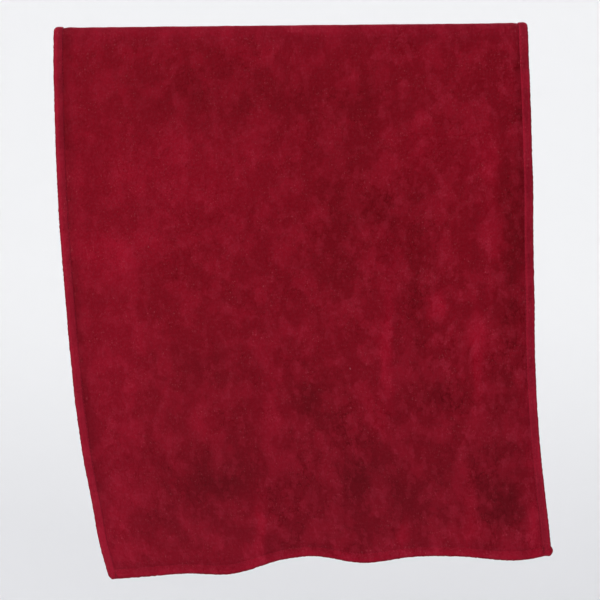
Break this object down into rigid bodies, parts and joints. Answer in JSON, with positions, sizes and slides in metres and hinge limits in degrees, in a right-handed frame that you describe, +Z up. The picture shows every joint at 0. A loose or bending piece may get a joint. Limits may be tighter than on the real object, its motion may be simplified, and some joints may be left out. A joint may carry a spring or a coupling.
{
  "type": "golf towel",
  "caption": "Hemmed velour golf towel folded over a round rail, its long drop in front and a short drop behind, each free to lift about the rail.",
  "frame": {"origin": "on the rail's axis, at the middle of the fold's width", "axes": "+X along the rail, to the right seen from the front; -Y forward, out of the front drop; +Z up"},
  "size_m": [0.4212, 0.0236, 0.4733],
  "materials": {
    "velour": "sheared crimson cotton velour with a soft mottled nap",
    "hem": "turned and stitched velour hem, slightly paler along its rim",
    "thread": "crimson polyester sewing thread",
    "label": "blank off-white woven satin ribbon"
  },
  "bodies": {
    "fold": {"fold_cloth": "velour", "fold_left_hem": "hem", "fold_right_hem": "hem", "fold_left_seam": "thread", "fold_right_seam": "thread"},
    "front_drop": {"front_cloth": "velour", "front_left_hem": "hem", "front_right_hem": "hem", "front_end_hem": "hem", "front_left_seam": "thread", "front_right_seam": "thread", "front_end_seam": "thread", "front_corner_tacks": "thread"},
    "back_drop": {"back_cloth": "velour", "back_left_hem": "hem", "back_right_hem": "hem", "back_end_hem": "hem", "back_left_seam": "thread", "back_right_seam": "thread", "back_end_seam": "thread", "back_corner_tacks": "thread", "care_label": "label", "label_stitching": "thread"}
  },
  "joints": [
    {"name": "front_lift", "type": "hinge", "parent": "fold", "child": "front_drop", "pos_m": [0, -0.0083, 0], "axis": [-1, 0, 0], "range_deg": [0, 90]},
    {"name": "back_lift", "type": "hinge", "parent": "fold", "child": "back_drop", "pos_m": [0, 0.0083, 0], "axis": [1, 0, 0], "range_deg": [0, 90]}
  ]
}
